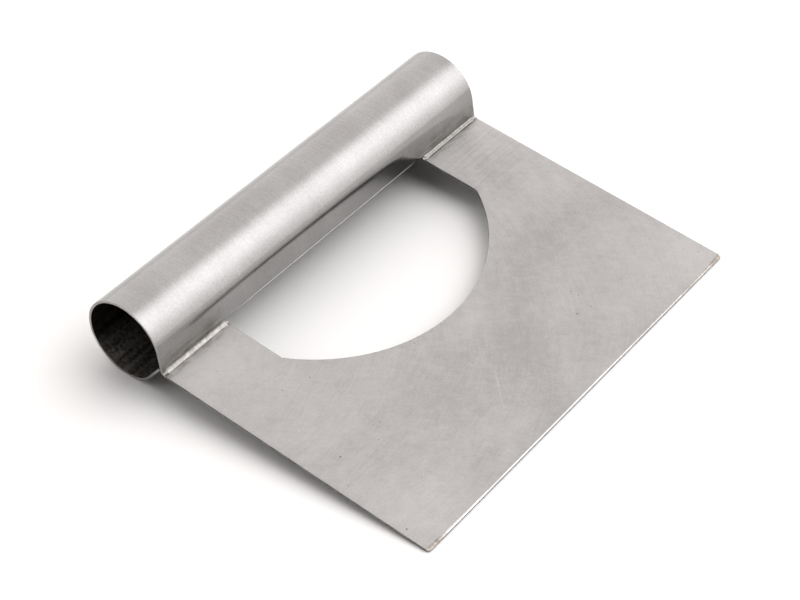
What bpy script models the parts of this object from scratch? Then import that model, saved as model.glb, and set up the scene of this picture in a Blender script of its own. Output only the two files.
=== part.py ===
"""Bench scraper: a flat steel blade welded to a handle rolled from the same sheet.

The object lies as it would on a table: X runs along the handle and the blade's front
edge, Y runs from the front edge to the handle, and Z is up. It rests on the handle's
lowest line and on the blade's front edge. The origin is the middle of that footprint.

Most shapes are drawn in the blade's own plane, as (u, v): u runs along the blade
towards the handle from the line where the two meet, and v rises from the blade's top
face. The parent empty tilts that plane into the resting pose.
"""

import math

import bmesh
import bpy
from mathutils import Matrix, Vector

MM = 0.001

# Sheet and overall sizes
SHEET = 0.8 * MM
WIDTH = 150.0 * MM
BLADE_DEPTH = 94.0 * MM
FIT_GAP = 0.3 * MM

# Handle, in the blade's (u, v) plane
TUBE_RADIUS = 13.6 * MM
TUBE_U = 15.6 * MM
TUBE_V = 3.3 * MM
WALL_LEAN = math.radians(14.0)
FOOT_BEND_RADIUS = 0.8 * MM
FLANGE_END = -0.6 * MM
LIP_START = math.radians(-119.0)
LIP_SLOPE = math.radians(58.0)
LIP_BEND_RADIUS = 8.0 * MM

# D-shaped finger opening
OPENING_HALF_WIDTH = 47.5 * MM
OPENING_SIDE = 20.2 * MM
OPENING_DEPTH = 46.3 * MM
WINDOW_TOP = 1.2 * MM
WINDOW_CORNER_RADIUS = 2.0 * MM

# Front edge
FRONT_CORNER_RADIUS = 1.0 * MM
GRIND_WIDTH = 1.0 * MM
GRIND_DROP = 0.3 * MM

# Weld beads
BEAD_LEG = 1.8 * MM
BEAD_CROWN = 0.12 * MM
BEAD_END_INSET = 0.5 * MM

# How far a cutter reaches past the sheet that it cuts, and the distance that joins equal points
CUTTER_MARGIN = 1.0 * MM
CUTTER_END_MARGIN = 5.0 * MM
WELD_DISTANCE = 0.001 * MM
EMPTY_SIZE = 30.0 * MM

# Fineness of the curves
TUBE_STEP = math.radians(5.0)
OPENING_STEP = math.radians(2.5)
SMALL_STEP = math.radians(15.0)

STEEL = (0.62, 0.60, 0.58)
WELD_STEEL = (0.72, 0.71, 0.70)


def clear_scene():
    for item in list(bpy.data.objects):
        bpy.data.objects.remove(item, do_unlink=True)


def new_collection(name):
    collection = bpy.data.collections.new(name)
    bpy.context.scene.collection.children.link(collection)
    return collection


def steel(name, color, roughness):
    material = bpy.data.materials.new(name)
    material.use_nodes = True
    shader = material.node_tree.nodes["Principled BSDF"]
    shader.inputs["Base Color"].default_value = (*color, 1.0)
    shader.inputs["Metallic"].default_value = 1.0
    shader.inputs["Roughness"].default_value = roughness
    return material


def arc(centre, radius, start, end, step):
    """Points on an arc from one angle to another, both ends included."""
    count = max(2, math.ceil(abs(end - start) / step))
    angles = [start + (end - start) * i / count for i in range(count + 1)]
    return [Vector((centre[0] + radius * math.cos(angle),
                    centre[1] + radius * math.sin(angle))) for angle in angles]


def heading(angle):
    return Vector((math.cos(angle), math.sin(angle)))


def rest_tilt():
    """Angle that lays the handle's lowest line and the front edge on one level plane."""
    edge = Vector((-BLADE_DEPTH, -SHEET))
    to_tube = Vector((TUBE_U, TUBE_V)) - edge
    return math.asin(TUBE_RADIUS / to_tube.length) - math.atan2(to_tube.y, to_tube.x)


def frame_empty(collection):
    """The blade's plane, tilted and set down so that the object rests on Z = 0."""
    tilt = rest_tilt()
    turn = Matrix.Rotation(tilt, 4, "X")
    contact = turn @ Vector((0.0, -BLADE_DEPTH, -SHEET))
    foremost = turn @ Vector((0.0, -BLADE_DEPTH, -GRIND_DROP))
    tube = turn @ Vector((0.0, TUBE_U, TUBE_V))
    middle = (foremost.y + tube.y + TUBE_RADIUS) / 2.0
    frame = bpy.data.objects.new("blade_plane", None)
    frame.empty_display_size = EMPTY_SIZE
    frame.location = (0.0, -middle, -contact.z)
    frame.rotation_euler = (tilt, 0.0, 0.0)
    collection.objects.link(frame)
    return frame


def place(item, collection, frame, material=None):
    collection.objects.link(item)
    item.parent = frame
    if material is not None:
        item.data.materials.append(material)


def fold_corner():
    """Where the wall's outer face would meet the blade's top face if the bend were sharp."""
    tangent_u = TUBE_U - TUBE_RADIUS * math.cos(WALL_LEAN)
    tangent_v = TUBE_V + TUBE_RADIUS * math.sin(WALL_LEAN)
    return tangent_u - tangent_v * math.tan(WALL_LEAN)


def handle_midline():
    """Middle of the rolled sheet, from the flange at the blade round to the free lip."""
    tube_centre = Vector((TUBE_U, TUBE_V))
    mid_radius = TUBE_RADIUS - SHEET / 2.0
    bend = math.pi / 2.0 - WALL_LEAN
    bend_start = fold_corner() - FOOT_BEND_RADIUS * math.tan(bend / 2.0)
    bend_centre = Vector((bend_start, FOOT_BEND_RADIUS))
    points = [Vector((FLANGE_END, -SHEET / 2.0))]
    points += arc(bend_centre, FOOT_BEND_RADIUS + SHEET / 2.0,
                  -math.pi / 2.0, -math.pi / 2.0 + bend, SMALL_STEP)
    points += arc(tube_centre, mid_radius, math.pi - WALL_LEAN, LIP_START, TUBE_STEP)
    turn_start = LIP_START - math.pi / 2.0
    turn_end = -math.pi - LIP_SLOPE
    lip_centre = points[-1] + LIP_BEND_RADIUS * heading(turn_start - math.pi / 2.0)
    points += arc(lip_centre, LIP_BEND_RADIUS, turn_start + math.pi / 2.0,
                  turn_end + math.pi / 2.0, SMALL_STEP / 2.0)[1:]
    points.append(lip_end(points[-1], heading(turn_end)))
    return points


def lip_end(start, direction):
    """Runs the straight lip on until its corner is one gap short of the wall's inner face."""
    wall_normal = Vector((math.cos(WALL_LEAN), -math.sin(WALL_LEAN)))
    wall_inner = Vector((fold_corner(), 0.0)).dot(wall_normal) + SHEET
    side = Vector((-direction.y, direction.x))
    corner_reach = abs(side.dot(wall_normal)) * SHEET / 2.0
    clear = start.dot(wall_normal) - wall_inner - FIT_GAP - corner_reach
    return start + direction * (clear / -direction.dot(wall_normal))


def ribbon(name, profile, half_width):
    """An open sheet: a (u, v) profile swept along X."""
    form = bmesh.new()
    row = [form.verts.new((-half_width, point.x, point.y)) for point in profile]
    edges = [form.edges.new(pair) for pair in zip(row, row[1:])]
    swept = bmesh.ops.extrude_edge_only(form, edges=edges)["geom"]
    moved = [item for item in swept if isinstance(item, bmesh.types.BMVert)]
    bmesh.ops.translate(form, verts=moved, vec=(2.0 * half_width, 0.0, 0.0))
    mesh = bpy.data.meshes.new(name)
    form.to_mesh(mesh)
    form.free()
    return bpy.data.objects.new(name, mesh)


def outline_solid(name, outline, thickness, matrix):
    """A flat outline with thickness: a filled 2D curve, turned into a closed mesh."""
    curve = bpy.data.curves.new(name, "CURVE")
    curve.dimensions = "2D"
    curve.fill_mode = "BOTH"
    curve.extrude = thickness / 2.0
    spline = curve.splines.new("POLY")
    spline.points.add(len(outline) - 1)
    for point, place_on in zip(spline.points, outline):
        point.co = (place_on[0], place_on[1], 0.0, 1.0)
    spline.use_cyclic_u = True
    guide = bpy.data.objects.new(name + "_curve", curve)
    bpy.context.scene.collection.objects.link(guide)
    view = bpy.context.evaluated_depsgraph_get()
    mesh = bpy.data.meshes.new_from_object(guide.evaluated_get(view))
    bpy.data.objects.remove(guide, do_unlink=True)
    form = bmesh.new()
    form.from_mesh(mesh)
    bmesh.ops.remove_doubles(form, verts=form.verts, dist=WELD_DISTANCE)
    bmesh.ops.recalc_face_normals(form, faces=form.faces)
    form.to_mesh(mesh)
    form.free()
    mesh.name = name
    mesh.transform(matrix)
    return bpy.data.objects.new(name, mesh)


def across_x(middle_x):
    """Sets a (u, v) outline upright, with its thickness along X around middle_x."""
    return Matrix(((0, 0, 1, middle_x), (1, 0, 0, 0), (0, 1, 0, 0), (0, 0, 0, 1)))


def cutter(name, item, collection, frame, target):
    item.hide_render = True
    item.display_type = "WIRE"
    place(item, collection, frame)
    cut = target.modifiers.new(name, "BOOLEAN")
    cut.operation = "DIFFERENCE"
    cut.solver = "EXACT"
    cut.object = item


def window_outline():
    """The opening in the handle's wall, as (x, v): open below, rounded at both top corners."""
    radius = WINDOW_CORNER_RADIUS
    inner = OPENING_HALF_WIDTH - radius
    top = WINDOW_TOP - radius
    below = -SHEET - CUTTER_MARGIN
    outline = [(-OPENING_HALF_WIDTH, below), (OPENING_HALF_WIDTH, below)]
    outline += arc((inner, top), radius, 0.0, math.pi / 2.0, SMALL_STEP)
    outline += arc((-inner, top), radius, math.pi / 2.0, math.pi, SMALL_STEP)
    return outline


def build_handle(parts, cutters, frame, material):
    handle = ribbon("handle_tube", handle_midline(), WIDTH / 2.0)
    place(handle, parts, frame, material)
    sheet = handle.modifiers.new("sheet", "SOLIDIFY")
    sheet.thickness = SHEET
    sheet.offset = 0.0
    sheet.use_even_offset = True
    near = FLANGE_END - CUTTER_MARGIN
    far = fold_corner() + SHEET + FIT_GAP
    facing = Matrix.Translation((0.0, (near + far) / 2.0, 0.0)) @ Matrix.Rotation(math.pi / 2.0, 4, "X")
    window = outline_solid("window_cutter", window_outline(), far - near, facing)
    cutter("window", window, cutters, frame, handle)


def blade_outline():
    """The blade seen from above, as (x, u), with the D-shaped notch in its back edge."""
    back = FLANGE_END - FIT_GAP
    half = WIDTH / 2.0
    bow = OPENING_DEPTH - OPENING_SIDE
    bow_radius = (OPENING_HALF_WIDTH ** 2 + bow ** 2) / (2.0 * bow)
    bow_centre = (0.0, bow_radius - OPENING_DEPTH)
    swing = math.asin(OPENING_HALF_WIDTH / bow_radius)
    down = -math.pi / 2.0
    corner = FRONT_CORNER_RADIUS
    front = -BLADE_DEPTH + corner
    outline = [(-half, back), (-OPENING_HALF_WIDTH, back)]
    outline += arc(bow_centre, bow_radius, down - swing, down + swing, OPENING_STEP)
    outline += [(OPENING_HALF_WIDTH, back), (half, back)]
    outline += arc((half - corner, front), corner, 0.0, down, SMALL_STEP)
    outline += arc((corner - half, front), corner, down, 2.0 * down, SMALL_STEP)
    return outline


def grind_outline():
    """Wedge above the front edge's ground bevel, as (u, v)."""
    slope = GRIND_DROP / GRIND_WIDTH
    front = -BLADE_DEPTH
    inner = front + GRIND_WIDTH + CUTTER_MARGIN
    outer = front - GRIND_WIDTH
    return [(outer, -2.0 * GRIND_DROP), (inner, slope * CUTTER_MARGIN), (inner, CUTTER_MARGIN),
            (outer, CUTTER_MARGIN)]


def build_blade(parts, cutters, frame, material):
    level = Matrix.Translation((0.0, 0.0, -SHEET / 2.0))
    blade = outline_solid("blade", blade_outline(), SHEET, level)
    place(blade, parts, frame, material)
    wedge = outline_solid("grind_cutter", grind_outline(), WIDTH + 2.0 * CUTTER_END_MARGIN, across_x(0.0))
    cutter("grind", wedge, cutters, frame, blade)


def bead_outline():
    """A small fillet one gap clear of the wall, of the foot's bend and of the blade."""
    lean = Vector((math.sin(WALL_LEAN), math.cos(WALL_LEAN)))
    out = Vector((-math.cos(WALL_LEAN), math.sin(WALL_LEAN)))
    bend = math.pi / 2.0 - WALL_LEAN
    bend_start = fold_corner() - FOOT_BEND_RADIUS * math.tan(bend / 2.0)
    seat = arc((bend_start, FOOT_BEND_RADIUS), FOOT_BEND_RADIUS - FIT_GAP,
               -math.pi / 2.0, -math.pi / 2.0 + bend, SMALL_STEP)
    corner = Vector((fold_corner(), 0.0))
    wall_top = corner + lean * BEAD_LEG + out * FIT_GAP
    toe = Vector((corner.x - BEAD_LEG, FIT_GAP))
    across = wall_top - toe
    crown = (wall_top + toe) / 2.0 + Vector((-across.y, across.x)).normalized() * BEAD_CROWN
    return [toe, *seat, wall_top, crown]


def build_bead(name, side, parts, frame, material):
    inner = OPENING_HALF_WIDTH + BEAD_END_INSET
    outer = WIDTH / 2.0 - BEAD_END_INSET
    upright = across_x(side * (inner + outer) / 2.0)
    bead = outline_solid(name, bead_outline(), outer - inner, upright)
    place(bead, parts, frame, material)


def main():
    clear_scene()
    parts = new_collection("bench_scraper")
    cutters = new_collection("cutters")
    frame = frame_empty(parts)
    sheet_steel = steel("brushed_steel", STEEL, 0.34)
    weld_steel = steel("weld_steel", WELD_STEEL, 0.3)
    build_handle(parts, cutters, frame, sheet_steel)
    build_blade(parts, cutters, frame, sheet_steel)
    build_bead("weld_bead_left", -1.0, parts, frame, weld_steel)
    build_bead("weld_bead_right", 1.0, parts, frame, weld_steel)


main()
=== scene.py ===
"""Looks of the bench scraper: fine sheet-metal meshes, brushed steel, weld beads, studio."""

import math

import bmesh
import bpy
from mathutils import Matrix, Vector, noise


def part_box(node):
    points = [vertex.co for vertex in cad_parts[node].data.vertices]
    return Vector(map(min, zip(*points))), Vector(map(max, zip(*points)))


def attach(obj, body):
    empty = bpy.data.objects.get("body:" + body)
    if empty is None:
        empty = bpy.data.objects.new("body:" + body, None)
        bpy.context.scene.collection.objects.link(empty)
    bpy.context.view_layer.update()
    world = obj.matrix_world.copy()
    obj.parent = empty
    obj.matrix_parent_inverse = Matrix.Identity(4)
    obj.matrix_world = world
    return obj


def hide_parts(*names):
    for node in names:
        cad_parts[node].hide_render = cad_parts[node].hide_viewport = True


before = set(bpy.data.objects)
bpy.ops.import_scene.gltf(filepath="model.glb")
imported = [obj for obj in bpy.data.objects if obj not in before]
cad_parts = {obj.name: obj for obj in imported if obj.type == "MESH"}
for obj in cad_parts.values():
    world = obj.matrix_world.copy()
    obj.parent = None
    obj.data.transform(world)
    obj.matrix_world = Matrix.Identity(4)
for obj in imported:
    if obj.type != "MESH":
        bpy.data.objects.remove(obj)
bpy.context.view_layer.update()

MM = 0.001


def mm(*values):
    """Lengths given in millimetres, as a tuple in metres."""
    return tuple(value * MM for value in values)


# The design's driving sizes, in metres
SHEET = 0.8 * MM
WIDTH = 150.0 * MM
BLADE_DEPTH = 94.0 * MM
TUBE_RADIUS = 13.6 * MM
TUBE_U = 15.6 * MM
TUBE_V = 3.3 * MM
WALL_LEAN = math.radians(14.0)
FOOT_BEND_RADIUS = 0.8 * MM
LIP_START = math.radians(-119.0)
LIP_SLOPE = math.radians(58.0)
LIP_BEND_RADIUS = 8.0 * MM
OPENING_HALF_WIDTH = 47.5 * MM
OPENING_SIDE = 20.2 * MM
OPENING_DEPTH = 46.3 * MM
WINDOW_TOP = 1.2 * MM
WINDOW_CORNER_RADIUS = 2.0 * MM
FRONT_CORNER_RADIUS = 1.0 * MM
GRIND_DROP = 0.3 * MM

# Finer details than the design holds
LIP_GAP = 0.04 * MM
SEAM_U = -0.3 * MM
SEAM_GAP = 0.02 * MM
SHEET_EDGE_ROUND = 0.14 * MM
GRIND_MIDDLE = 0.5 * MM
GRIND_CORNER = 1.3 * MM
BURR_RADIUS = 0.16 * MM
BURR_STANDS_OUT = 0.10 * MM
BURR_TIP = 0.05
BURR_UNEVEN = 0.15
END_POWER = 8

# Weld beads. Shares are of the bead's own size.
BEAD_START = 0.2 * MM
BEAD_INSET = 1.0 * MM
BEAD_SINK = 0.015 * MM
BEAD_ROOT = 0.3 * SHEET
BEAD_SWELL = 0.10
BEAD_RIPPLE = 0.04
BEAD_BLOB = 0.30
BEAD_LUMP = 0.03 * MM
GROOVE_PLACE = 0.42
GROOVE_WIDTH = 0.09

# Each bead's piece, node, side, fillet radius, crown, groove and swelling at its outer end
BEADS = (("bead_left", "weld_bead_left", -1.0, 1.5 * MM, 0.04 * MM, 0.0, 0.1),
         ("bead_right", "weld_bead_right", 1.0, 1.15 * MM, 0.10 * MM, 0.14 * MM, 0.2))

# Cutting tools run this far past the sheet
TOOL_REACH = 2.0 * MM
TOOL_OVERLAP = 1.0 * MM
TOOL_BEHIND_WALL = 0.3 * MM

# How fine the meshes are
TUBE_STEP = math.radians(2.0)
OPENING_STEP = math.radians(1.0)
SMALL_STEP = math.radians(7.5)
BURR_STATIONS = 96
BURR_SIDES = 10
GRIND_STATIONS = 80
BEAD_STATIONS = 240
BEAD_STEPS = 18
SHARP_ANGLE = math.radians(35.0)
BEAD_SHARP_ANGLE = math.radians(60.0)

# Camera
CAMERA_AIM = Vector((-6.4, 1.1, 6.0)) * MM
CAMERA_DISTANCE = 628.7 * MM
CAMERA_AZIMUTH = -53.15
CAMERA_ELEVATION = 43.13
CAMERA_ROLL = 0.89
CAMERA_LENS = 95.4

# Studio: "over" angles run from the back horizon up over the object to the front horizon,
# and "x" places are the direction's X, from -1 at the left to 1 at the right
FILL_LIGHT = 1.47
FILL_COLOR = (1.0, 0.975, 0.965)
BANK_LIGHT = 1.14
BANK_COLOR = (0.98, 1.0, 1.02)
BANK_START = math.radians(80.0)
BANK_FULL = math.radians(118.0)
BANK_FADE = math.radians(128.0)
BANK_LOW = 0.12
BANK_X_START = -0.3
BANK_X_FULL = 0.5
BANK_X_FADE = 0.62
BANK_RIGHT = 0.7
SHADE_START = math.radians(52.0)
SHADE_FULL = math.radians(100.0)
SHADE_X_START = 0.20
SHADE_X_FULL = -0.30
MIRROR_DEPTH = 2.5
FLOOR_DARK = (0.94, 0.938, 0.932, 1.0)
FLOOR_LIGHT = (0.96, 0.958, 0.952, 1.0)
FLOOR_THICKNESS = 0.01
FLOOR_REACH = 4.0
DISPLAY_GAMMA = 0.8


def arc(centre, radius, start, end, step):
    """Points on an arc from one angle to another, both ends included."""
    count = max(2, math.ceil(abs(end - start) / step))
    angles = [start + (end - start) * i / count for i in range(count + 1)]
    return [Vector((centre[0] + radius * math.cos(angle),
                    centre[1] + radius * math.sin(angle))) for angle in angles]


def heading(angle):
    return Vector((math.cos(angle), math.sin(angle)))


def bell(value, middle, width):
    """A smooth hump, 1 at its middle."""
    return math.exp(-((value - middle) / width) ** 2)


def blade_plane():
    """Matrix of the blade's plane: x stays, u runs towards the handle, v off the top face."""
    edge = Vector((-BLADE_DEPTH, -SHEET))
    to_tube = Vector((TUBE_U, TUBE_V)) - edge
    tilt = math.asin(TUBE_RADIUS / to_tube.length) - math.atan2(to_tube.y, to_tube.x)
    turn = Matrix.Rotation(tilt, 4, "X")
    lowest, highest = (Vector(corner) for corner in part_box("handle_tube"))
    axis = Vector((0.0, highest.y - TUBE_RADIUS, lowest.z + TUBE_RADIUS))
    return Matrix.Translation(axis - turn @ Vector((0.0, TUBE_U, TUBE_V))) @ turn


PLANE = blade_plane()


# ---------------------------------------------------------------- nodes


class Nodes:
    """A short way to write a node tree."""

    def __init__(self, tree):
        self.tree = tree

    def feed(self, socket, value):
        """Links a socket into another, or sets a number or colour on it."""
        if isinstance(value, bpy.types.NodeSocket):
            self.tree.links.new(value, socket)
        elif value is not None:
            socket.default_value = value

    def math(self, operation, first, second=None):
        node = self.tree.nodes.new("ShaderNodeMath")
        node.operation = operation
        self.feed(node.inputs[0], first)
        self.feed(node.inputs[1], second)
        return node.outputs[0]

    def chain(self, operation, values):
        """Joins a row of values by one operation."""
        total = values[0]
        for value in values[1:]:
            total = self.math(operation, total, value)
        return total

    def product(self, *values):
        return self.chain("MULTIPLY", values)

    def mix_of(self, *weighted):
        """Sum of (weight, value) pairs."""
        return self.chain("ADD", [self.math("MULTIPLY", value, weight) for weight, value in weighted])

    def length(self, first, second):
        return self.math("SQRT", self.math("ADD", self.product(first, first), self.product(second, second)))

    def split(self, vector):
        node = self.tree.nodes.new("ShaderNodeSeparateXYZ")
        self.feed(node.inputs[0], vector)
        return node.outputs

    def join(self, x, y, z):
        node = self.tree.nodes.new("ShaderNodeCombineXYZ")
        for socket, value in zip(node.inputs, (x, y, z)):
            self.feed(socket, value)
        return node.outputs[0]

    def remap(self, value, low, high, out_low=0.0, out_high=1.0, smooth=False):
        node = self.tree.nodes.new("ShaderNodeMapRange")
        node.interpolation_type = "SMOOTHSTEP" if smooth else "LINEAR"
        self.feed(node.inputs["Value"], value)
        node.inputs["From Min"].default_value = low
        node.inputs["From Max"].default_value = high
        node.inputs["To Min"].default_value = out_low
        node.inputs["To Max"].default_value = out_high
        return node.outputs["Result"]

    def tinted(self, brightness, color):
        node = self.tree.nodes.new("ShaderNodeVectorMath")
        node.operation = "SCALE"
        node.inputs[0].default_value = color
        self.feed(node.inputs["Scale"], brightness)
        return node.outputs[0]

    def vector_sum(self, first, second):
        node = self.tree.nodes.new("ShaderNodeVectorMath")
        node.operation = "ADD"
        self.feed(node.inputs[0], first)
        self.feed(node.inputs[1], second)
        return node.outputs[0]


class Graph(Nodes):
    """A material's nodes. Its place is (x, u, v) about a chosen (u, v)."""

    def __init__(self, name, middle=(0.0, 0.0)):
        self.material = bpy.data.materials.new(name)
        self.material.use_nodes = True
        super().__init__(self.material.node_tree)
        self.shader = self.tree.nodes["Principled BSDF"]
        coordinates = self.tree.nodes.new("ShaderNodeTexCoord")
        into_plane = Matrix.Translation((0.0, -middle[0], -middle[1])) @ PLANE.inverted()
        node = self.tree.nodes.new("ShaderNodeMapping")
        self.feed(node.inputs["Vector"], coordinates.outputs["Object"])
        node.inputs["Location"].default_value = into_plane.to_translation()
        node.inputs["Rotation"].default_value = into_plane.to_euler()
        self.place = node.outputs[0]

    def noise(self, scale, detail=2.0, roughness=0.5, vector=None):
        """Noise whose scale is one number, or one for each of x, u and v."""
        scales = scale if isinstance(scale, tuple) else (scale, scale, scale)
        mapping = self.tree.nodes.new("ShaderNodeMapping")
        self.feed(mapping.inputs["Vector"], self.place if vector is None else vector)
        mapping.inputs["Scale"].default_value = scales
        node = self.tree.nodes.new("ShaderNodeTexNoise")
        self.feed(node.inputs["Vector"], mapping.outputs[0])
        node.inputs["Scale"].default_value = 1.0
        node.inputs["Detail"].default_value = detail
        node.inputs["Roughness"].default_value = roughness
        return node.outputs["Fac"]

    def blend(self, factor, first, second):
        node = self.tree.nodes.new("ShaderNodeMix")
        node.data_type = "RGBA"
        self.feed(node.inputs[0], factor)
        self.feed(node.inputs[6], first)
        self.feed(node.inputs[7], second)
        return node.outputs[2]

    def bump(self, height, strength, distance):
        node = self.tree.nodes.new("ShaderNodeBump")
        node.inputs["Strength"].default_value = strength
        node.inputs["Distance"].default_value = distance
        self.feed(node.inputs["Height"], height)
        return node.outputs[0]

    def finish(self, color, roughness, normal=None, metallic=1.0):
        self.feed(self.shader.inputs["Base Color"], color)
        self.feed(self.shader.inputs["Roughness"], roughness)
        self.feed(self.shader.inputs["Metallic"], metallic)
        self.feed(self.shader.inputs["Normal"], normal)
        return self.material


# ---------------------------------------------------------------- materials


def rgb(red, green, blue):
    return (red, green, blue, 1.0)


TUBE_DARK = rgb(0.335, 0.329, 0.326)
TUBE_LIGHT = rgb(0.400, 0.395, 0.392)
# Painted shade: the inside of the tube is coloured near-black.
PAINTED_SHADE_INNER_DARK = rgb(0.045, 0.038, 0.033)
PAINTED_SHADE_INNER_LIGHT = rgb(0.16, 0.145, 0.135)
# Painted sheen: the bottom of the bore is coloured lighter.
PAINTED_SHEEN_DARK = rgb(0.15, 0.135, 0.12)
PAINTED_SHEEN_LIGHT = rgb(0.62, 0.59, 0.56)
BLADE_DARK = rgb(0.345, 0.337, 0.334)
BLADE_LIGHT = rgb(0.455, 0.446, 0.443)
# Heat tint beside the welds. The same colour is also painted shade at the wall's right end over the
# opening.
HEAT_TINT_AND_PAINTED_SHADE = rgb(0.198, 0.194, 0.174)
SMEAR = rgb(0.30, 0.29, 0.28)
PALE_SCRATCH = rgb(0.62, 0.61, 0.60)
PIT = rgb(0.16, 0.145, 0.13)
SHEARED_DARK = rgb(0.18, 0.175, 0.17)
SHEARED_LIGHT = rgb(0.36, 0.355, 0.35)
RIM_DARK = rgb(0.30, 0.29, 0.28)
RIM_LIGHT = rgb(0.50, 0.49, 0.48)
CUT_DARK = rgb(0.38, 0.375, 0.37)
CUT_LIGHT = rgb(0.50, 0.495, 0.49)
GROUND_DARK = rgb(0.44, 0.435, 0.43)
GROUND_LIGHT = rgb(0.56, 0.555, 0.55)
WORN_DARK = rgb(0.26, 0.235, 0.21)
WORN_LIGHT = rgb(0.42, 0.39, 0.365)
WELD_DARK = rgb(0.29, 0.28, 0.27)
WELD_LIGHT = rgb(0.38, 0.37, 0.36)

# Where one finish or painted shade turns into another
SHOULDER_START = OPENING_HALF_WIDTH - 1.0 * MM
SHOULDER_FULL = OPENING_HALF_WIDTH + 4.0 * MM
TINT_AND_PAINTED_SHADE_FULL_HEIGHT = 1.0 * MM
TINT_AND_PAINTED_SHADE_TOP = 8.5 * MM
# Painted shade: the wall darkens towards its right end over the opening.
PAINTED_SHADE_RIGHT_START = 36.0 * MM
PAINTED_SHADE_RIGHT_FULL = 45.0 * MM
CORNER_START = WIDTH / 2.0 - 11.0 * MM
CORNER_FULL = WIDTH / 2.0 - 4.0 * MM
WORN_START = 5.0 * MM
WORN_FULL = 60.0 * MM
WORN_RIGHT = 0.75
SMEAR_START = -2.8 * MM
SMEAR_FULL = -1.0 * MM

# The blade's polish: strokes along one direction, and arcs about a centre that sway a little
STROKE_TURN = math.radians(38.0)
POLISH_CENTRE = mm(-61.0, 25.0)
SWAY = 2.5 * MM

# Clouds on the blade: strength, darker below 0, with centre and half sizes along (x, u)
CLOUDS = (
    (-0.050, mm(-31.0, -62.0), mm(13.0, 20.0)),
    (0.060, mm(55.0, -84.0), mm(42.0, 17.0)),
    (0.040, mm(-3.0, -52.0), mm(12.0, 6.0)),
    (0.060, mm(-64.0, -20.0), mm(30.0, 46.0)),
    (0.045, mm(-66.0, -82.0), mm(26.0, 24.0)),
    (0.060, mm(75.0, -90.0), mm(22.0, 24.0)),
    (0.030, mm(-20.0, -82.0), mm(26.0, 14.0)))
RIGHT_SHOULDER_CLOUD = (mm(62.0, -12.0), mm(30.0, 26.0))
RIGHT_SHOULDER_DARK = -0.060
RIGHT_SHOULDER_DRAWN = 0.090
DARK_RING = (mm(48.0, -108.0), 60.0 * MM, 13.0 * MM)
DARK_RING_STRENGTH = -0.060
# Painted light: the blade is lighter towards the handle.
PAINTED_LIGHT_HANDLE_START = -22.0 * MM
PAINTED_LIGHT_HANDLE_STRENGTH = 0.070

# Fine scratches on the blade: both ends as (x, u), and the width
DARK_LINES = (
    (mm(-66.0, -40.0), mm(-39.0, -29.0), 0.35 * MM),
    (mm(-72.0, -63.0), mm(-52.0, -61.5), 0.3 * MM),
    (mm(-22.0, -33.0), mm(-16.0, -48.0), 0.3 * MM))
PALE_LINE = (mm(-21.5, -80.4), mm(-9.3, -68.2), 0.4 * MM)


def shoulder_mask(graph, x):
    """1 beside the two weld lines, 0 along the opening."""
    return graph.remap(graph.math("ABSOLUTE", x), SHOULDER_START, SHOULDER_FULL, smooth=True)


def tube_steel():
    """Satin steel with short hairlines running round the tube, tinted by heat beside the welds, with
    painted shade at the wall's right end over the opening.
    """
    graph = Graph("tube_steel", (TUBE_U, TUBE_V))
    hairlines = graph.noise((1900.0, 110.0, 110.0), 3.0, 0.6)
    rings = graph.noise((620.0, 16.0, 16.0), 2.0)
    grain = graph.noise(1500.0, 2.0)
    cloud = graph.noise((50.0, 60.0, 60.0), 4.0, 0.55)
    tone = graph.mix_of((0.24, hairlines), (0.02, rings), (0.29, grain), (0.45, cloud))
    color = graph.blend(graph.remap(tone, 0.38, 0.62), TUBE_DARK, TUBE_LIGHT)
    x, u, v = graph.split(graph.place)
    height = graph.math("ADD", v, TUBE_V)
    near = graph.remap(height, TINT_AND_PAINTED_SHADE_FULL_HEIGHT, TINT_AND_PAINTED_SHADE_TOP, 1.0, 0.0, smooth=True)
    outside = graph.remap(u, -0.5 * TUBE_RADIUS, -0.8 * TUBE_RADIUS)
    streaks = graph.remap(graph.noise((70.0, 900.0, 900.0), 3.0), 0.36, 0.60)
    patches = graph.remap(graph.noise(210.0, 3.0), 0.40, 0.62)
    # Painted shade: the wall's right end over the opening takes the heat tint's colour.
    right = graph.remap(x, PAINTED_SHADE_RIGHT_START, PAINTED_SHADE_RIGHT_FULL, smooth=True)
    welds_and_painted_shade = graph.math("MAXIMUM", shoulder_mask(graph, x), right)
    heat_tint_and_painted_shade = graph.product(welds_and_painted_shade, near, outside, graph.mix_of((0.55, streaks), (0.45, patches)))
    color = graph.blend(heat_tint_and_painted_shade, color, HEAT_TINT_AND_PAINTED_SHADE)
    roughness = graph.remap(graph.mix_of((0.5, hairlines), (0.5, cloud)), 0.35, 0.65, 0.15, 0.21)
    normal = graph.bump(graph.mix_of((0.4, hairlines), (0.6, grain)), 0.05, 0.03 * MM)
    tangent = graph.tree.nodes.new("ShaderNodeTangent")
    tangent.direction_type = "RADIAL"
    tangent.axis = "X"
    graph.feed(graph.shader.inputs["Tangent"], tangent.outputs[0])
    graph.shader.inputs["Anisotropic"].default_value = 0.4
    graph.shader.inputs["Anisotropic Rotation"].default_value = 0.25
    return graph.finish(color, roughness, normal)


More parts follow.
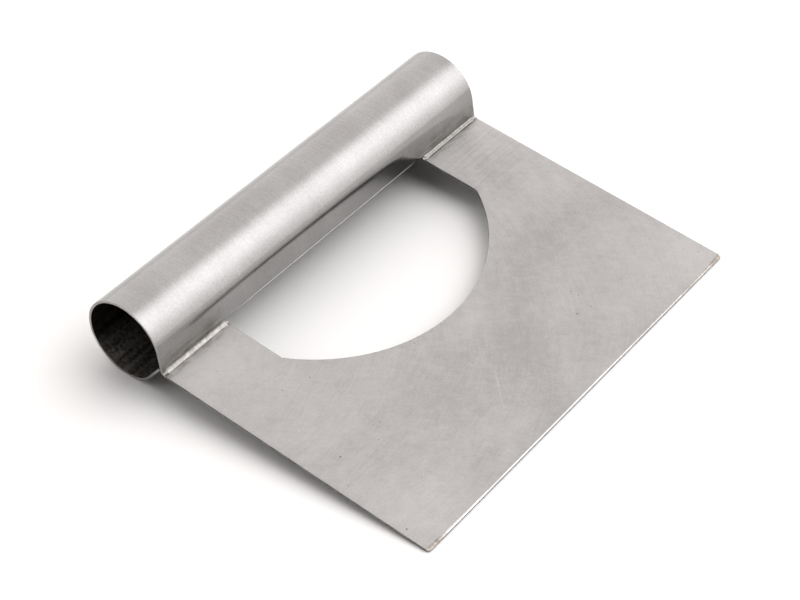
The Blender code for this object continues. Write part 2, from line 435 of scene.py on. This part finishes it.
def inner_steel():
    """Steel inside the tube with streaks along its length, painted near-black as shade, with a painted
    sheen low down.
    """
    graph = Graph("inner_steel", (TUBE_U, TUBE_V))
    streaks = graph.noise((40.0, 500.0, 500.0), 3.0)
    speckle = graph.noise(1100.0, 3.0, 0.65)
    tone = graph.remap(graph.mix_of((0.5, streaks), (0.5, speckle)), 0.40, 0.62)
    v = graph.split(graph.place)["Z"]
    # Painted sheen towards the bottom of the bore, over the painted shade above it.
    painted_sheen = graph.remap(v, -0.35 * TUBE_RADIUS, -0.95 * TUBE_RADIUS, smooth=True)
    painted_shade_color = graph.blend(tone, PAINTED_SHADE_INNER_DARK, PAINTED_SHADE_INNER_LIGHT)
    painted_sheen_color = graph.blend(tone, PAINTED_SHEEN_DARK, PAINTED_SHEEN_LIGHT)
    color = graph.blend(painted_sheen, painted_shade_color, painted_sheen_color)
    roughness = graph.remap(speckle, 0.3, 0.7, 0.38, 0.52)
    return graph.finish(color, roughness, graph.bump(speckle, 0.15, 0.04 * MM))


def edge_steel(name, dark, light):
    """A cut edge of the sheet, with fine drag marks."""
    graph = Graph(name)
    drag = graph.noise(2400.0, 2.0)
    patches = graph.noise(180.0, 2.0)
    tone = graph.remap(graph.mix_of((0.5, drag), (0.5, patches)), 0.38, 0.62)
    color = graph.blend(tone, dark, light)
    roughness = graph.remap(drag, 0.3, 0.7, 0.24, 0.38)
    return graph.finish(color, roughness, graph.bump(drag, 0.12, 0.02 * MM))


def sheared_steel():
    return edge_steel("sheared_steel", SHEARED_DARK, SHEARED_LIGHT)


def rim_steel():
    return edge_steel("rim_steel", RIM_DARK, RIM_LIGHT)


def cut_steel():
    return edge_steel("cut_steel", CUT_DARK, CUT_LIGHT)


def ground_steel():
    """The ground bevel: bright along the middle, browner where it widens and towards the right."""
    graph = Graph("ground_steel")
    x = graph.split(graph.place)["X"]
    fine = graph.noise((1500.0, 500.0, 500.0), 2.0)
    slow = graph.noise(120.0, 2.0)
    tone = graph.remap(graph.mix_of((0.5, fine), (0.5, slow)), 0.40, 0.60)
    corner = graph.remap(graph.math("ABSOLUTE", x), CORNER_START, CORNER_FULL, smooth=True)
    right = graph.remap(x, WORN_START, WORN_FULL, 0.0, WORN_RIGHT)
    worn = graph.math("MAXIMUM", corner, right)
    bright_color = graph.blend(tone, GROUND_DARK, GROUND_LIGHT)
    worn_color = graph.blend(tone, WORN_DARK, WORN_LIGHT)
    color = graph.blend(worn, bright_color, worn_color)
    roughness = graph.remap(fine, 0.3, 0.7, 0.22, 0.32)
    return graph.finish(color, roughness, graph.bump(fine, 0.08, 0.02 * MM))


def offsets(graph, x, u, centre):
    """How far a place lies from a centre, along x and along u."""
    return graph.math("SUBTRACT", x, centre[0]), graph.math("SUBTRACT", u, centre[1])


def ring_mask(graph, x, u, centre, radius, width):
    """1 on a soft circular band."""
    away = graph.length(*offsets(graph, x, u, centre))
    off = graph.math("ABSOLUTE", graph.math("SUBTRACT", away, radius))
    return graph.remap(off, 0.0, width, 1.0, 0.0, smooth=True)


def patch_mask(graph, x, u, centre, half_sizes):
    """1 in the middle of a soft ellipse."""
    from_x, from_u = offsets(graph, x, u, centre)
    across = graph.math("DIVIDE", from_x, half_sizes[0])
    along = graph.math("DIVIDE", from_u, half_sizes[1])
    return graph.remap(graph.length(across, along), 0.2, 1.0, 1.0, 0.0, smooth=True)


def line_mask(graph, x, u, start, end, width):
    """1 along a fine scratch between two (x, u) points."""
    run = Vector(end) - Vector(start)
    across = run.orthogonal().normalized()
    along = run.normalized()
    from_x, from_u = offsets(graph, x, u, start)
    off = graph.math("ABSOLUTE", graph.mix_of((across.x, from_x), (across.y, from_u)))
    down = graph.mix_of((along.x, from_x), (along.y, from_u))
    return graph.product(graph.remap(off, 0.2 * width, width, 1.0, 0.0, smooth=True),
                         graph.remap(down, 0.0, 0.2 * run.length, smooth=True),
                         graph.remap(down, 0.8 * run.length, run.length, 1.0, 0.0, smooth=True))


def turned(graph, angle):
    """The (x, u) place seen along a direction."""
    x, u, v = graph.split(graph.place)
    return graph.join(graph.mix_of((math.cos(angle), x), (math.sin(angle), u)),
                      graph.mix_of((-math.sin(angle), x), (math.cos(angle), u)), v)


def blade_clouds(graph, x, u):
    """What the blade's clouds, and the painted light towards the handle, add to its tone."""
    parts = [(strength, patch_mask(graph, x, u, centre, half_sizes))
             for strength, centre, half_sizes in CLOUDS]
    drawn = graph.remap(graph.noise((40.0, 1000.0, 1.0), 3.0), 0.30, 0.70)
    right_shoulder = patch_mask(graph, x, u, *RIGHT_SHOULDER_CLOUD)
    drawn_lines = graph.product(right_shoulder, graph.math("SUBTRACT", drawn, 0.5))
    # Painted light: lighter towards the handle.
    painted_light_near_handle = graph.remap(u, PAINTED_LIGHT_HANDLE_START, 0.0, smooth=True)
    parts += [(DARK_RING_STRENGTH, ring_mask(graph, x, u, *DARK_RING)),
              (RIGHT_SHOULDER_DARK, right_shoulder),
              (RIGHT_SHOULDER_DRAWN, drawn_lines),
              (PAINTED_LIGHT_HANDLE_STRENGTH, painted_light_near_handle)]
    return graph.mix_of(*parts)


def blade_steel():
    """Cloudy satin steel with wide polishing arcs, a few scratches and tiny pits."""
    graph = Graph("blade_steel")
    x, u = graph.split(graph.place)[:2]
    sway = graph.remap(graph.noise(20.0, 1.0), 0.3, 0.7, -SWAY, SWAY)
    from_x, from_u = offsets(graph, x, u, POLISH_CENTRE)
    away = graph.math("ADD", graph.length(from_x, from_u), sway)
    polar = graph.join(away, graph.math("ARCTAN2", from_u, from_x), 0.0)
    arcs = graph.noise((1000.0, 11.0, 1.0), 4.0, 0.65, vector=polar)
    bands = graph.noise((150.0, 1.6, 1.0), 2.0, vector=polar)
    strokes = graph.noise((700.0, 190.0, 1.0), 4.0, 0.6, vector=turned(graph, STROKE_TURN))
    cloud = graph.noise(19.0, 5.0, 0.55)
    mottle = graph.noise(260.0, 4.0, 0.7)
    grain = graph.noise(1900.0, 2.0)
    tone = graph.mix_of((0.30, cloud), (0.08, bands), (0.13, arcs), (0.11, strokes), (0.18, mottle),
                        (0.20, grain))
    swayed_x = graph.math("ADD", x, graph.math("MULTIPLY", sway, 0.4))
    tone = graph.math("ADD", tone, blade_clouds(graph, swayed_x, u))
    color = graph.blend(graph.remap(tone, 0.395, 0.615), BLADE_DARK, BLADE_LIGHT)
    smear = graph.product(shoulder_mask(graph, x), graph.remap(u, SMEAR_START, SMEAR_FULL, smooth=True),
                          graph.remap(graph.noise((300.0, 900.0, 1.0), 3.0), 0.40, 0.60, 0.0, 0.7))
    color = graph.blend(smear, color, SMEAR)
    dark_lines = graph.chain("MAXIMUM", [line_mask(graph, x, u, *line) for line in DARK_LINES])
    color = graph.blend(graph.product(dark_lines, 0.3), color, BLADE_DARK)
    pale_line = line_mask(graph, x, u, *PALE_LINE)
    color = graph.blend(graph.product(pale_line, 0.15), color, PALE_SCRATCH)
    pits = graph.remap(graph.noise(760.0, 0.0), 0.862, 0.880, 0.0, 0.8)
    color = graph.blend(pits, color, PIT)
    roughness = graph.remap(tone, 0.41, 0.60, 0.38, 0.32)
    normal = graph.bump(graph.mix_of((0.5, arcs), (0.2, mottle), (0.3, grain)), 0.06, 0.03 * MM)
    return graph.finish(color, roughness, normal)


def weld_steel():
    """Bare weld metal: bright crests, darker skin between the ripples."""
    graph = Graph("weld_steel")
    skin = graph.noise(1000.0, 3.0)
    ripple = graph.noise((700.0, 260.0, 260.0), 2.0)
    tone = graph.remap(graph.mix_of((0.5, skin), (0.5, ripple)), 0.40, 0.60)
    color = graph.blend(tone, WELD_DARK, WELD_LIGHT)
    roughness = graph.remap(skin, 0.3, 0.7, 0.36, 0.26)
    return graph.finish(color, roughness, graph.bump(skin, 0.08, 0.05 * MM))


# ---------------------------------------------------------------- shapes


def add_object(name, mesh, matrix, materials):
    item = bpy.data.objects.new(name, mesh)
    bpy.context.scene.collection.objects.link(item)
    item.matrix_world = matrix
    for material in materials:
        mesh.materials.append(material)
    return item


def mesh_from(form, name):
    """Turns a bmesh into a mesh and frees it."""
    mesh = bpy.data.meshes.new(name)
    form.to_mesh(mesh)
    form.free()
    return mesh


def loft(form, rings):
    """Closes a row of rings of vertices into a solid skin."""
    for ring, after in zip(rings, rings[1:]):
        for j in range(len(ring)):
            k = (j + 1) % len(ring)
            form.faces.new((ring[j], ring[k], after[k], after[j]))
    form.faces.new(rings[0])
    form.faces.new(rings[-1])
    bmesh.ops.recalc_face_normals(form, faces=form.faces)


def apply_modifiers(item):
    view = bpy.context.evaluated_depsgraph_get()
    mesh = bpy.data.meshes.new_from_object(item.evaluated_get(view))
    item.modifiers.clear()
    item.data = mesh
    mesh.name = item.name


def settle(item):
    """Applies an object's modifiers and shades it smooth up to its real edges."""
    apply_modifiers(item)
    item.data.shade_smooth()
    item.data.set_sharp_from_angle(angle=SHARP_ANGLE)


def settle_in_frame(item):
    """Settles an object, moves its place into its vertices and keeps its flat faces flat-shaded."""
    settle(item)
    item.data.transform(item.matrix_world)
    item.matrix_world = Matrix.Identity(4)
    weighted = item.modifiers.new("flat_faces", "WEIGHTED_NORMAL")
    weighted.mode = "FACE_AREA"
    weighted.weight = 100
    weighted.keep_sharp = True
    apply_modifiers(item)


def rounded_edges(item, width):
    bevel = item.modifiers.new("edge_round", "BEVEL")
    bevel.width = width
    bevel.segments = 2
    bevel.limit_method = "ANGLE"
    bevel.angle_limit = SHARP_ANGLE


def outline_mesh(name, outline, thickness):
    """A flat outline with thickness, as a closed mesh centred on its plane. Its sides take slot 1."""
    form = bmesh.new()
    ring = [form.verts.new((point[0], point[1], -thickness / 2.0)) for point in outline]
    face = form.faces.new(ring)
    raised = bmesh.ops.extrude_face_region(form, geom=[face])["geom"]
    lifted = [item for item in raised if isinstance(item, bmesh.types.BMVert)]
    bmesh.ops.translate(form, verts=lifted, vec=(0.0, 0.0, thickness))
    bmesh.ops.recalc_face_normals(form, faces=form.faces)
    for face in form.faces:
        face.material_index = 1 if abs(face.normal.z) < 0.5 else 0
    return mesh_from(form, name)


def cut(item, tool):
    """Subtracts a helper object and removes it."""
    boolean = item.modifiers.new("cut", "BOOLEAN")
    boolean.operation = "DIFFERENCE"
    boolean.solver = "EXACT"
    boolean.material_mode = "TRANSFER"
    boolean.object = tool
    settle(item)
    bpy.data.objects.remove(tool, do_unlink=True)


def fold_corner():
    """Where the wall's outer face would meet the blade's top face if the bend were sharp."""
    tangent_u = TUBE_U - TUBE_RADIUS * math.cos(WALL_LEAN)
    tangent_v = TUBE_V + TUBE_RADIUS * math.sin(WALL_LEAN)
    return tangent_u - tangent_v * math.tan(WALL_LEAN)


def handle_midline():
    """Middle of the rolled sheet, from the flange at the blade round to the free lip."""
    mid_radius = TUBE_RADIUS - SHEET / 2.0
    bend = math.pi / 2.0 - WALL_LEAN
    bend_start = fold_corner() - FOOT_BEND_RADIUS * math.tan(bend / 2.0)
    points = [Vector((SEAM_U, -SHEET / 2.0))]
    points += arc((bend_start, FOOT_BEND_RADIUS), FOOT_BEND_RADIUS + SHEET / 2.0,
                  -math.pi / 2.0, -math.pi / 2.0 + bend, SMALL_STEP)
    points += arc((TUBE_U, TUBE_V), mid_radius, math.pi - WALL_LEAN, LIP_START, TUBE_STEP)
    turn_start = LIP_START - math.pi / 2.0
    turn_end = -math.pi - LIP_SLOPE
    lip_centre = points[-1] + LIP_BEND_RADIUS * heading(turn_start - math.pi / 2.0)
    points += arc(lip_centre, LIP_BEND_RADIUS, turn_start + math.pi / 2.0,
                  turn_end + math.pi / 2.0, SMALL_STEP / 2.0)[1:]
    points.append(lip_end(points[-1], heading(turn_end)))
    return points


def lip_end(start, direction):
    """Runs the straight lip on until its corner nearly touches the wall's inner face."""
    wall_normal = Vector((math.cos(WALL_LEAN), -math.sin(WALL_LEAN)))
    wall_inner = Vector((fold_corner(), 0.0)).dot(wall_normal) + SHEET
    side = Vector((-direction.y, direction.x))
    corner_reach = abs(side.dot(wall_normal)) * SHEET / 2.0
    clear = start.dot(wall_normal) - wall_inner - LIP_GAP - corner_reach
    return start + direction * (clear / -direction.dot(wall_normal))


def window_outline():
    """The opening in the handle's wall, as (x, v): open below, rounded at both top corners."""
    radius = WINDOW_CORNER_RADIUS
    inner = OPENING_HALF_WIDTH - radius
    top = WINDOW_TOP - radius
    outline = [(-OPENING_HALF_WIDTH, -TOOL_REACH), (OPENING_HALF_WIDTH, -TOOL_REACH)]
    outline += arc((inner, top), radius, 0.0, math.pi / 2.0, SMALL_STEP)
    outline += arc((-inner, top), radius, math.pi / 2.0, math.pi, SMALL_STEP)
    return outline


def add_burr(item):
    """Joins the fine rolled-over burr along the opening's top edge to the handle's mesh."""
    reach = OPENING_HALF_WIDTH - WINDOW_CORNER_RADIUS
    wall_face = fold_corner() + WINDOW_TOP * math.tan(WALL_LEAN)
    middle = Vector((wall_face + BURR_RADIUS - BURR_STANDS_OUT - TUBE_U,
                     WINDOW_TOP + 0.5 * BURR_RADIUS - TUBE_V))
    side_turn = 2.0 * math.pi / BURR_SIDES
    form = bmesh.new()
    form.from_mesh(item.data)
    rings = []
    for i in range(BURR_STATIONS + 1):
        along = -1.0 + 2.0 * i / BURR_STATIONS
        uneven = 1.0 + BURR_UNEVEN * noise.noise(Vector((along * 30.0, 1.0, 2.0)))
        radius = BURR_RADIUS * uneven * max(BURR_TIP, 1.0 - along ** END_POWER)
        ring = arc(middle, radius, 0.0, side_turn * (BURR_SIDES - 1), side_turn)
        rings.append([form.verts.new((along * reach, point.x, point.y)) for point in ring])
    loft(form, rings)
    form.to_mesh(item.data)
    form.free()


def rolled_sheet():
    """The handle's midline swept along X, about the tube's own axis."""
    form = bmesh.new()
    row = [form.verts.new((-WIDTH / 2.0, point.x - TUBE_U, point.y - TUBE_V))
           for point in handle_midline()]
    edges = [form.edges.new(pair) for pair in zip(row, row[1:])]
    swept = bmesh.ops.extrude_edge_only(form, edges=edges)["geom"]
    moved = [item for item in swept if isinstance(item, bmesh.types.BMVert)]
    bmesh.ops.translate(form, verts=moved, vec=(WIDTH, 0.0, 0.0))
    return mesh_from(form, "rolled_handle")


def handle_piece():
    """The rolled handle, modelled about the tube's own axis."""
    matrix = PLANE @ Matrix.Translation((0.0, TUBE_U, TUBE_V))
    item = add_object("rolled_handle", rolled_sheet(), matrix, [tube_steel(), inner_steel(), rim_steel()])
    sheet = item.modifiers.new("sheet", "SOLIDIFY")
    sheet.thickness = SHEET
    sheet.offset = 0.0
    sheet.use_even_offset = True
    sheet.material_offset = 1
    sheet.material_offset_rim = 2
    settle(item)
    near = SEAM_U - TOOL_OVERLAP
    far = fold_corner() + SHEET + TOOL_BEHIND_WALL
    tool_mesh = outline_mesh("window_tool", window_outline(), far - near)
    smooth_cut = cut_steel()
    facing = Matrix.Translation((0.0, (near + far) / 2.0, 0.0)) @ Matrix.Rotation(math.pi / 2.0, 4, "X")
    cut(item, add_object("window_tool", tool_mesh, PLANE @ facing, [smooth_cut, smooth_cut]))
    rounded_edges(item, SHEET_EDGE_ROUND)
    settle(item)
    add_burr(item)
    settle_in_frame(item)
    return item


def blade_outline():
    """The blade seen from above, as (x, u), with the D-shaped notch in its back edge."""
    back = SEAM_U - SEAM_GAP
    half = WIDTH / 2.0
    bow = OPENING_DEPTH - OPENING_SIDE
    bow_radius = (OPENING_HALF_WIDTH ** 2 + bow ** 2) / (2.0 * bow)
    bow_centre = (0.0, bow_radius - OPENING_DEPTH)
    swing = math.asin(OPENING_HALF_WIDTH / bow_radius)
    down = -math.pi / 2.0
    corner = FRONT_CORNER_RADIUS
    front = -BLADE_DEPTH + corner
    outline = [(-half, back), (-OPENING_HALF_WIDTH, back)]
    outline += arc(bow_centre, bow_radius, down - swing, down + swing, OPENING_STEP)
    outline += [(OPENING_HALF_WIDTH, back), (half, back)]
    outline += arc((half - corner, front), corner, 0.0, down, SMALL_STEP)
    outline += arc((corner - half, front), corner, down, 2.0 * down, SMALL_STEP)
    return outline


def grind_width(x):
    """The ground bevel is narrow along the middle and widens towards both corners."""
    nearness = abs(x) / (WIDTH / 2.0)
    return GRIND_MIDDLE + (GRIND_CORNER - GRIND_MIDDLE) * nearness ** END_POWER


def grind_tool():
    """A wedge above the bevel, lofted along X through the changing width."""
    form = bmesh.new()
    half = WIDTH / 2.0 + TOOL_REACH
    rows = []
    for i in range(GRIND_STATIONS + 1):
        x = -half + 2.0 * half * i / GRIND_STATIONS
        width = grind_width(x)
        slope = GRIND_DROP / width
        outer = -BLADE_DEPTH - width
        inner = -BLADE_DEPTH + width + TOOL_OVERLAP
        profile = [(outer, -2.0 * GRIND_DROP), (inner, slope * TOOL_OVERLAP),
                   (inner, TOOL_REACH), (outer, TOOL_REACH)]
        rows.append([form.verts.new((x, u, v)) for u, v in profile])
    loft(form, rows)
    return mesh_from(form, "grind_tool")


def blade_piece():
    """The flat blade with its ground front edge."""
    mesh = outline_mesh("blade_plate", blade_outline(), SHEET)
    mesh.transform(Matrix.Translation((0.0, 0.0, -SHEET / 2.0)))
    item = add_object("blade_plate", mesh, PLANE, [blade_steel(), sheared_steel()])
    cut(item, add_object("grind_tool", grind_tool(), PLANE, [ground_steel()]))
    rounded_edges(item, SHEET_EDGE_ROUND)
    settle_in_frame(item)
    return item


def bead_swell(x, length, seed, loop):
    """Uneven bead, x running from the opening outwards: slow swell, ripples, a blob and round ends."""
    swell = BEAD_SWELL * noise.noise(Vector((x * 260.0, seed, 0.0)))
    ripple = BEAD_RIPPLE * noise.noise(Vector((x * 900.0, seed, 4.0)))
    blob = BEAD_BLOB * bell(x, 0.9 * MM, 0.9 * MM)
    last = loop * bell(length - x, 1.2 * MM, 0.7 * MM)
    ends = min(1.0, x / (0.7 * MM), (length - x) / (1.0 * MM))
    return (1.0 + swell + ripple + blob + last) * math.sqrt(max(0.0, ends * (2.0 - ends)))


def bead_piece(name, side, radius, crown, groove, loop):
    """Fillet bead in one shoulder's inside corner: a hollow arc with a low crown and a groove."""
    length = WIDTH / 2.0 - OPENING_HALF_WIDTH - BEAD_START - BEAD_INSET
    sweep = math.pi / 2.0 - WALL_LEAN
    corner = Vector((fold_corner(), 0.0))
    root = corner + Vector((BEAD_ROOT, -BEAD_ROOT))
    middle = corner + Vector((-radius * math.tan(sweep / 2.0), radius - BEAD_SINK))
    form = bmesh.new()
    rings = []
    for i in range(1, BEAD_STATIONS):
        x = length * i / BEAD_STATIONS
        grow = bead_swell(x, length, 5.0 + 3.0 * side, loop)
        spots = [root]
        for j in range(BEAD_STEPS + 1):
            part = j / BEAD_STEPS
            lump = BEAD_LUMP * noise.noise(Vector((x * 700.0, part * 4.0, side)))
            raised = (crown * math.sin(math.pi * part) ** 2
                      - groove * bell(part, GROOVE_PLACE, GROOVE_WIDTH))
            hollow = radius - (raised + lump) * math.sin(math.pi * part)
            turn = sweep * part
            spots.append(middle + hollow * Vector((math.sin(turn), -math.cos(turn))))
        places = [corner + (spot - corner) * grow for spot in spots]
        along = side * (OPENING_HALF_WIDTH + BEAD_START + x)
        rings.append([form.verts.new((along, place.x, place.y)) for place in places])
    loft(form, rings)
    mesh = mesh_from(form, name)
    mesh.transform(PLANE)
    mesh.shade_smooth()
    mesh.set_sharp_from_angle(angle=BEAD_SHARP_ANGLE)
    return add_object(name, mesh, Matrix.Identity(4), [weld_steel()])


# ---------------------------------------------------------------- studio


def look_matrix(back, roll):
    """Rotation whose +Z is back, levelled and then rolled."""
    level = Vector((0.0, 0.0, 1.0)).cross(back).normalized()
    upright = back.cross(level)
    right = level * math.cos(roll) + upright * math.sin(roll)
    upward = upright * math.cos(roll) - level * math.sin(roll)
    return Matrix((right, upward, back)).transposed().to_4x4()


def direction(azimuth, elevation):
    """Unit vector towards a place seen from the object: azimuth 0 is in front, at -Y."""
    turn = math.radians(azimuth)
    rise = math.radians(elevation)
    return Vector((math.sin(turn) * math.cos(rise), -math.cos(turn) * math.cos(rise), math.sin(rise)))


def add_camera():
    data = bpy.data.cameras.new("camera")
    data.lens = CAMERA_LENS
    data.clip_start = 0.01
    camera = bpy.data.objects.new("camera", data)
    bpy.context.scene.collection.objects.link(camera)
    back = direction(CAMERA_AZIMUTH, CAMERA_ELEVATION)
    spot = CAMERA_AIM + back * CAMERA_DISTANCE
    camera.matrix_world = Matrix.Translation(spot) @ look_matrix(back, math.radians(CAMERA_ROLL))
    bpy.context.scene.camera = camera


def add_light_tent():
    """A soft surround, even and slightly warm, with one long bright bank overhead in front.

    Its left front is darker, which deepens the shadows on the floor. The camera and first mirror
    reflections don't see that, so that the steel isn't black from behind.
    """
    world = bpy.data.worlds.new("light_tent")
    bpy.context.scene.world = world
    world.use_nodes = True
    tent = Nodes(world.node_tree)
    x, y, z = tent.split(tent.tree.nodes.new("ShaderNodeTexCoord").outputs["Generated"])
    over = tent.math("ARCTAN2", z, y)
    bank = tent.product(tent.remap(over, BANK_START, BANK_FULL, smooth=True),
                        tent.remap(over, BANK_FADE, math.pi, 1.0, BANK_LOW, smooth=True),
                        tent.remap(x, BANK_X_START, BANK_X_FULL, 0.0, BANK_LIGHT, smooth=True),
                        tent.remap(x, BANK_X_FADE, 1.0, 1.0, BANK_RIGHT, smooth=True))
    shade = tent.product(tent.remap(over, SHADE_START, SHADE_FULL, smooth=True),
                         tent.remap(x, SHADE_X_START, SHADE_X_FULL, smooth=True))
    path = tent.tree.nodes.new("ShaderNodeLightPath").outputs
    first = tent.math("LESS_THAN", path["Ray Depth"], MIRROR_DEPTH)
    unshaded = tent.math("MAXIMUM", tent.product(path["Is Glossy Ray"], first), path["Is Camera Ray"])
    shade = tent.product(shade, tent.math("SUBTRACT", 1.0, unshaded))
    fill = tent.product(tent.math("SUBTRACT", 1.0, shade), FILL_LIGHT)
    total = tent.vector_sum(tent.tinted(bank, BANK_COLOR), tent.tinted(fill, FILL_COLOR))
    tent.feed(tent.tree.nodes["Background"].inputs["Color"], total)


def add_floor():
    outline = [(-FLOOR_REACH, -FLOOR_REACH), (FLOOR_REACH, -FLOOR_REACH),
               (FLOOR_REACH, FLOOR_REACH), (-FLOOR_REACH, FLOOR_REACH)]
    mesh = outline_mesh("floor", outline, FLOOR_THICKNESS)
    graph = Graph("floor_paper")
    color = graph.blend(graph.noise(900.0, 2.0), FLOOR_DARK, FLOOR_LIGHT)
    material = graph.finish(color, roughness=0.9, metallic=0.0)
    below = Matrix.Translation((0.0, 0.0, -FLOOR_THICKNESS / 2.0))
    floor = add_object("floor", mesh, below, [material])


def add_studio():
    add_light_tent()
    add_floor()
    bpy.context.scene.view_settings.view_transform = "Standard"
    bpy.context.scene.view_settings.gamma = DISPLAY_GAMMA


add_camera()
add_studio()

handle = handle_piece()
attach(handle, "root")
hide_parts("handle_tube")

blade = blade_piece()
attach(blade, "root")
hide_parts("blade")

for name, node, side, radius, crown, groove, loop in BEADS:
    bead = bead_piece(name, side, radius, crown, groove, loop)
    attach(bead, "root")
    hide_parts(node)
